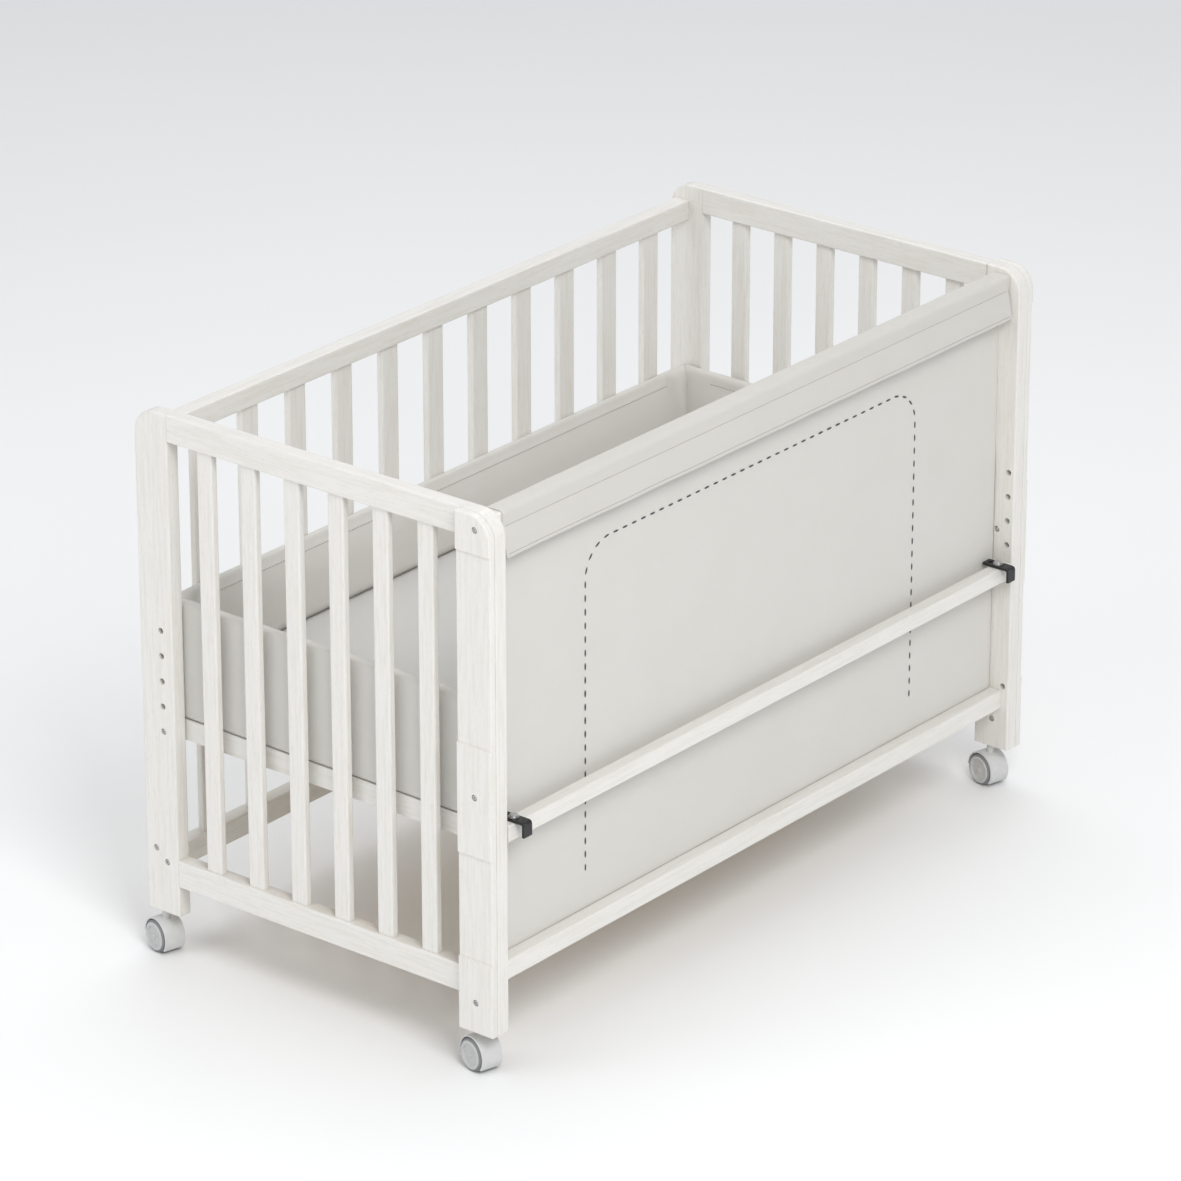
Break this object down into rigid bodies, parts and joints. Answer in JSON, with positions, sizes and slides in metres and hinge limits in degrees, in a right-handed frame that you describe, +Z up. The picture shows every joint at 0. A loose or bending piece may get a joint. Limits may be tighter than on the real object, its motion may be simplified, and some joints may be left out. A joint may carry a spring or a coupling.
{
  "type": "bedside cot",
  "caption": "Slatted bedside cot on swivel casters: height-adjustable padded bed base, fabric front panel and two sliding hooks for a bed's side rail.",
  "frame": {"origin": "middle of the overall box, on the floor under the casters", "axes": "+X along the length, -Y is the front with the fabric panel and the hooks, +Z up"},
  "size_m": [1.2949, 0.7002, 0.863],
  "materials": {
    "lacquered_wood": "satin",
    "panel_cloth": "matte",
    "sleeve_cloth": "matte",
    "bumper_cloth": "matte",
    "mattress_ticking": "matte",
    "plywood": "matte",
    "black_steel": "satin",
    "zinc_screw": "satin",
    "caster_plastic": "satin",
    "caster_wheel": "satin"
  },
  "bodies": {
    "frame": {"back_left_post": "lacquered_wood", "back_low_rail": "lacquered_wood", "back_right_post": "lacquered_wood", "back_slat_1": "lacquered_wood", "back_slat_10": "lacquered_wood", "back_slat_11": "lacquered_wood", "back_slat_2": "lacquered_wood", "back_slat_3": "lacquered_wood", "back_slat_4": "lacquered_wood", "back_slat_5": "lacquered_wood", "back_slat_6": "lacquered_wood", "back_slat_7": "lacquered_wood", "back_slat_8": "lacquered_wood", "back_slat_9": "lacquered_wood", "back_top_rail": "lacquered_wood", "front_left_post": "lacquered_wood", "front_low_rail": "lacquered_wood", "front_panel": "panel_cloth", "front_right_post": "lacquered_wood", "front_top_rail": "lacquered_wood", "left_doubler": "lacquered_wood", "left_end_low_rail": "lacquered_wood", "left_end_slat_1": "lacquered_wood", "left_end_slat_2": "lacquered_wood", "left_end_slat_3": "lacquered_wood", "left_end_slat_4": "lacquered_wood", "left_end_slat_5": "lacquered_wood", "left_end_slat_6": "lacquered_wood", "left_end_top_rail": "lacquered_wood", "rail_sleeve": "sleeve_cloth", "right_doubler": "lacquered_wood", "right_end_low_rail": "lacquered_wood", "right_end_slat_1": "lacquered_wood", "right_end_slat_2": "lacquered_wood", "right_end_slat_3": "lacquered_wood", "right_end_slat_4": "lacquered_wood", "right_end_slat_5": "lacquered_wood", "right_end_slat_6": "lacquered_wood", "right_end_top_rail": "lacquered_wood"},
    "bed_base": {"base_left_board": "lacquered_wood", "base_right_board": "lacquered_wood", "base_front_board": "lacquered_wood", "base_back_board": "lacquered_wood", "base_plate": "plywood", "mattress": "mattress_ticking", "bumper": "bumper_cloth", "hook_bar": "lacquered_wood", "left_hook_bolt": "zinc_screw", "right_hook_bolt": "zinc_screw"},
    "left_hook": {"left_hook": "black_steel"},
    "right_hook": {"right_hook": "black_steel"},
    "caster_front_left": {"caster_hood_front_left": "caster_plastic"},
    "wheels_front_left": {"caster_wheels_front_left": "caster_wheel"},
    "caster_back_left": {"caster_hood_back_left": "caster_plastic"},
    "wheels_back_left": {"caster_wheels_back_left": "caster_wheel"},
    "caster_front_right": {"caster_hood_front_right": "caster_plastic"},
    "wheels_front_right": {"caster_wheels_front_right": "caster_wheel"},
    "caster_back_right": {"caster_hood_back_right": "caster_plastic"},
    "wheels_back_right": {"caster_wheels_back_right": "caster_wheel"}
  },
  "joints": [
    {"name": "base_height", "type": "slide", "parent": "frame", "child": "bed_base", "axis": [0, 0, 1], "range_m": [0, 0.16]},
    {"name": "left_hook_slide", "type": "slide", "parent": "bed_base", "child": "left_hook", "axis": [0, -1, 0], "range_m": [0, 0.015]},
    {"name": "right_hook_slide", "type": "slide", "parent": "bed_base", "child": "right_hook", "axis": [0, -1, 0], "range_m": [0, 0.015]},
    {"name": "caster_front_left_swivel", "type": "hinge", "parent": "frame", "child": "caster_front_left", "pos_m": [-0.622, -0.2875, 0.025], "axis": [0, 0, 1], "continuous": true},
    {"name": "wheels_front_left_roll", "type": "hinge", "parent": "caster_front_left", "child": "wheels_front_left", "pos_m": [-0.62096, -0.28364, 0.025], "axis": [0.9659, -0.2588, 0], "continuous": true},
    {"name": "caster_back_left_swivel", "type": "hinge", "parent": "frame", "child": "caster_back_left", "pos_m": [-0.622, 0.3205, 0.025], "axis": [0, 0, 1], "continuous": true},
    {"name": "wheels_back_left_roll", "type": "hinge", "parent": "caster_back_left", "child": "wheels_back_left", "pos_m": [-0.62096, 0.32436, 0.025], "axis": [0.9659, -0.2588, 0], "continuous": true},
    {"name": "caster_front_right_swivel", "type": "hinge", "parent": "frame", "child": "caster_front_right", "pos_m": [0.622, -0.2875, 0.025], "axis": [0, 0, 1], "continuous": true},
    {"name": "wheels_front_right_roll", "type": "hinge", "parent": "caster_front_right", "child": "wheels_front_right", "pos_m": [0.62304, -0.28364, 0.025], "axis": [0.9659, -0.2588, 0], "continuous": true},
    {"name": "caster_back_right_swivel", "type": "hinge", "parent": "frame", "child": "caster_back_right", "pos_m": [0.622, 0.3205, 0.025], "axis": [0, 0, 1], "continuous": true},
    {"name": "wheels_back_right_roll", "type": "hinge", "parent": "caster_back_right", "child": "wheels_back_right", "pos_m": [0.62304, 0.32436, 0.025], "axis": [0.9659, -0.2588, 0], "continuous": true}
  ]
}
